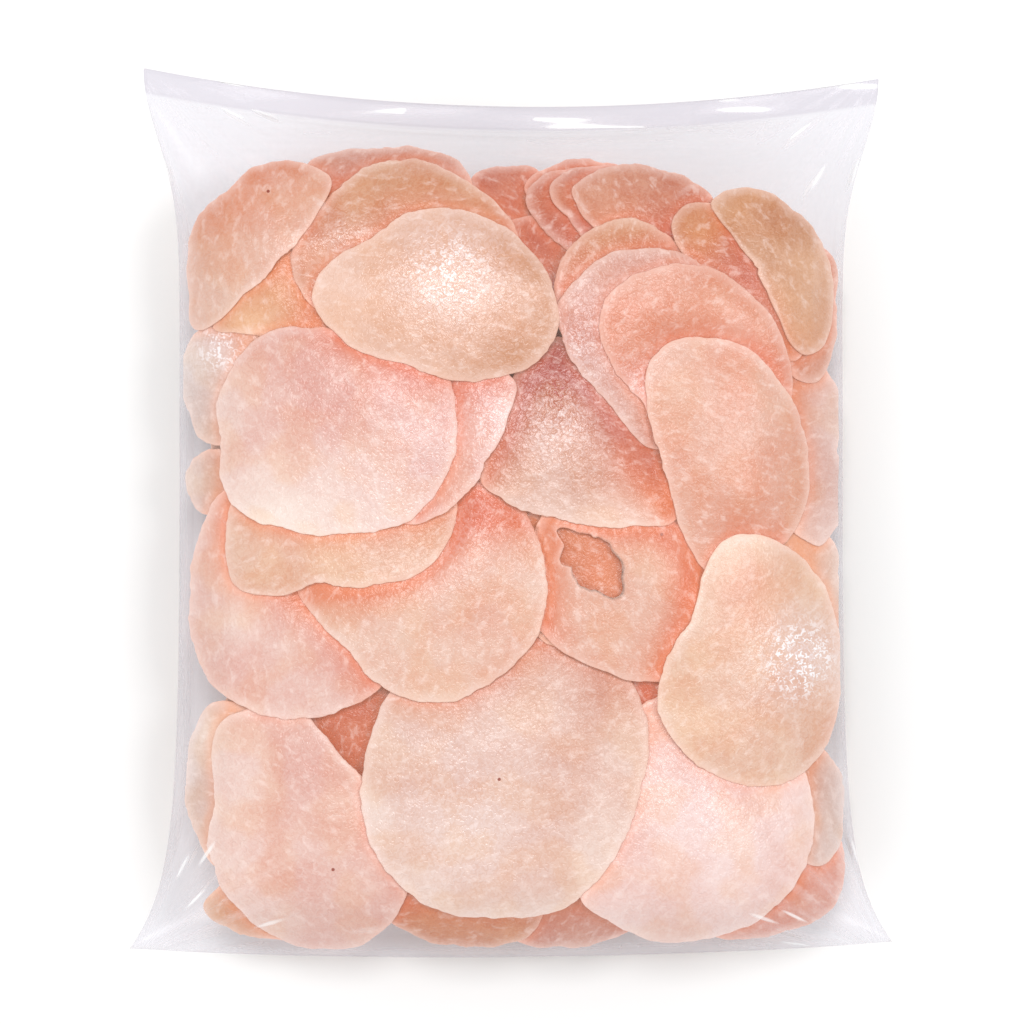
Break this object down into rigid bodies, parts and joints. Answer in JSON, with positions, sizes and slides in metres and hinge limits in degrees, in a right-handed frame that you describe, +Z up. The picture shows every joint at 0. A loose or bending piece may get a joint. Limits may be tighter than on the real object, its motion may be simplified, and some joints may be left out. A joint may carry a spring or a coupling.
{
  "type": "sealed clear bag of sago papads",
  "caption": "Clear film pillow bag, sealed at both ends and packed with thin, translucent pink and peach sago papad discs, lying on its back.",
  "frame": {"origin": "centre of the bag's outline, on the surface that it lies on", "axes": "+X across the bag, +Y towards the top seal, +Z up out of the shown front"},
  "size_m": [0.2123, 0.2451, 0.0487],
  "materials": {
    "papad_rose": "translucent rose-pink sago, fine pearly grain with a soft gloss",
    "papad_peach": "translucent peach sago, fine pearly grain with a soft gloss",
    "papad_cream": "translucent cream sago, fine pearly grain with a soft gloss",
    "film": "clear, slightly hazy plastic film with creases and heat-sealed ends"
  },
  "bodies": {
    "root": {"filled_bag": "papad_rose"}
  },
  "joints": []
}
